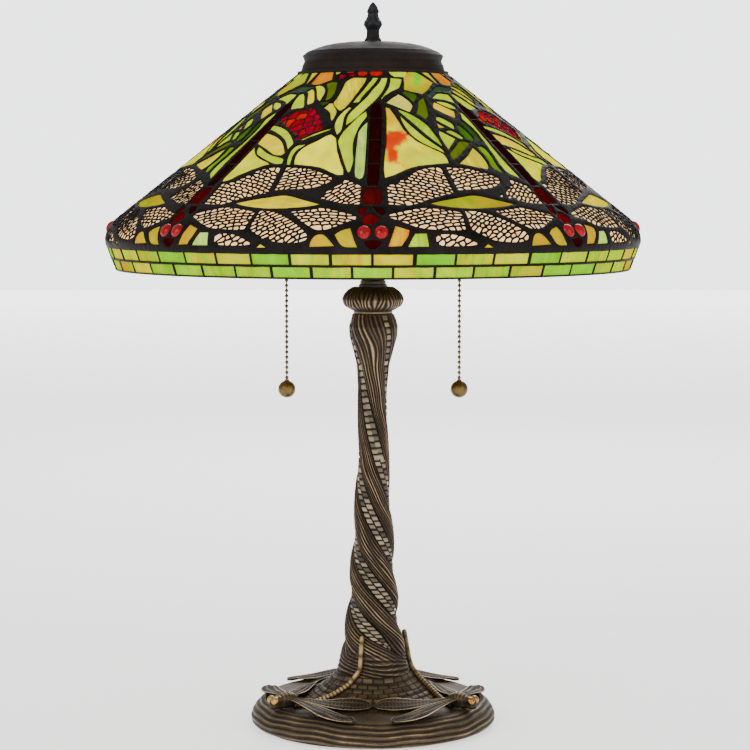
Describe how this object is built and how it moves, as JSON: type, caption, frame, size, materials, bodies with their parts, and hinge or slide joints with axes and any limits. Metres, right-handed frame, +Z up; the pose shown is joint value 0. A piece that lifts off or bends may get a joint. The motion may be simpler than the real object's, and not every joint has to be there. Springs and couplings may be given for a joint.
{
  "type": "stained glass table lamp",
  "caption": "Table lamp with a conical leaded glass dragonfly shade on a twisted tree-trunk bronze stand, with pull-chain sockets, vented cap and finial.",
  "frame": {"origin": "middle of the underside of the felt pad, on the table", "axes": "+Z up along the pipe, -Y towards the front, +X to the viewer's right"},
  "size_m": [0.4674, 0.4674, 0.632],
  "materials": {
    "felt": "wool felt",
    "bronze_casting": "antique bronze, rubbed on the high edges",
    "rubbed_bronze": "antique bronze, rubbed back",
    "gilt": "gilt",
    "iron": "raw",
    "plated_steel": "zinc plated",
    "plain_brass": "satin",
    "dark_plastic": "moulded",
    "dark_bronze": "oil-rubbed bronze",
    "connector": "moulded",
    "socket_brass": "antique",
    "card": "fibre card",
    "bulb_glass": "frosted",
    "bulb_base": "rolled",
    "chain_brass": "antique",
    "solder": "dark patina over solder",
    "field_glass": "opalescent, streaked",
    "swirl_glass": "opalescent, streaked",
    "leaf_glass": "opalescent, streaked",
    "flower_glass": "cathedral, hammered",
    "tail_glass": "opalescent, dark",
    "wing_glass": "opalescent, pale pink",
    "lens_glass": "opalescent, streaked",
    "body_glass": "hammered",
    "cabochon": "polished pressed glass",
    "side_glass": "opalescent, streaked",
    "brick_glass": "opalescent, streaked"
  },
  "bodies": {
    "stand": {"felt_pad": "felt", "foot_casting": "bronze_casting", "ballast_weight": "iron", "pipe_washer": "plated_steel", "pipe_nut": "plain_brass", "cord_bushing": "dark_plastic", "trunk_casting": "bronze_casting", "ornament_bodies": "rubbed_bronze", "ornament_wings": "rubbed_bronze", "ornament_tails": "rubbed_bronze", "ornament_eyes": "gilt", "neck_knob": "bronze_casting", "check_ring": "dark_bronze", "center_pipe": "plain_brass", "cluster_body": "dark_bronze", "cluster_cover": "dark_bronze", "cluster_screws": "plain_brass", "wire_connectors": "connector", "riser_rod": "plain_brass", "shade_rest": "plain_brass", "left_socket_arm": "plain_brass", "left_socket_cap": "socket_brass", "left_socket_shell": "socket_brass", "left_socket_liner": "card", "left_socket_switch": "dark_plastic", "left_chain_bell": "socket_brass", "right_socket_arm": "plain_brass", "right_socket_cap": "socket_brass", "right_socket_shell": "socket_brass", "right_socket_liner": "card", "right_socket_switch": "dark_plastic", "right_chain_bell": "socket_brass"},
    "left_bulb": {"left_bulb_glass": "bulb_glass", "left_bulb_base": "bulb_base"},
    "left_pull": {"left_switch_link": "chain_brass"},
    "left_chain": {"left_chain_beads": "chain_brass", "left_pull_ball": "chain_brass"},
    "right_bulb": {"right_bulb_glass": "bulb_glass", "right_bulb_base": "bulb_base"},
    "right_pull": {"right_switch_link": "chain_brass"},
    "right_chain": {"right_chain_beads": "chain_brass", "right_pull_ball": "chain_brass"},
    "shade": {"shade_top_ring": "solder", "shade_spider": "plain_brass", "vented_cap": "dark_bronze", "field_glass": "field_glass", "swirl_glass": "swirl_glass", "leaf_glass": "leaf_glass", "flower_glass": "flower_glass", "tail_glass": "tail_glass", "upper_wing_glass": "wing_glass", "lower_wing_glass": "wing_glass", "lens_glass": "lens_glass", "body_glass": "body_glass", "eye_cabochons": "cabochon", "head_side_glass": "side_glass", "upper_skirt_bricks": "brick_glass", "lower_skirt_bricks": "brick_glass", "lead_cames": "solder"},
    "finial": {"finial": "dark_bronze"}
  },
  "joints": [
    {"name": "left_bulb_screw", "type": "hinge", "parent": "stand", "child": "left_bulb", "pos_m": [-0.09, 0, 0.445], "axis": [-1, 0, 0], "continuous": true},
    {"name": "left_pull_slide", "type": "slide", "parent": "stand", "child": "left_pull", "axis": [0, 0, -1], "range_m": [0, 0.008], "stiffness_N_per_m": 600, "springref_m": -0.002},
    {"name": "left_chain_swing", "type": "hinge", "parent": "left_pull", "child": "left_chain", "pos_m": [-0.0755, 0, 0.4069], "axis": [0, 1, 0], "range_deg": [-15, 15]},
    {"name": "right_bulb_screw", "type": "hinge", "parent": "stand", "child": "right_bulb", "pos_m": [0.09, 0, 0.445], "axis": [1, 0, 0], "continuous": true},
    {"name": "right_pull_slide", "type": "slide", "parent": "stand", "child": "right_pull", "axis": [0, 0, -1], "range_m": [0, 0.008], "stiffness_N_per_m": 600, "springref_m": -0.002},
    {"name": "right_chain_swing", "type": "hinge", "parent": "right_pull", "child": "right_chain", "pos_m": [0.0755, 0, 0.4069], "axis": [0, 1, 0], "range_deg": [-15, 15]},
    {"name": "shade_turn", "type": "hinge", "parent": "stand", "child": "shade", "pos_m": [0, 0, 0.566], "axis": [0, 0, 1], "continuous": true},
    {"name": "finial_screw", "type": "hinge", "parent": "stand", "child": "finial", "pos_m": [0, 0, 0.605], "axis": [0, 0, 1], "continuous": true}
  ]
}
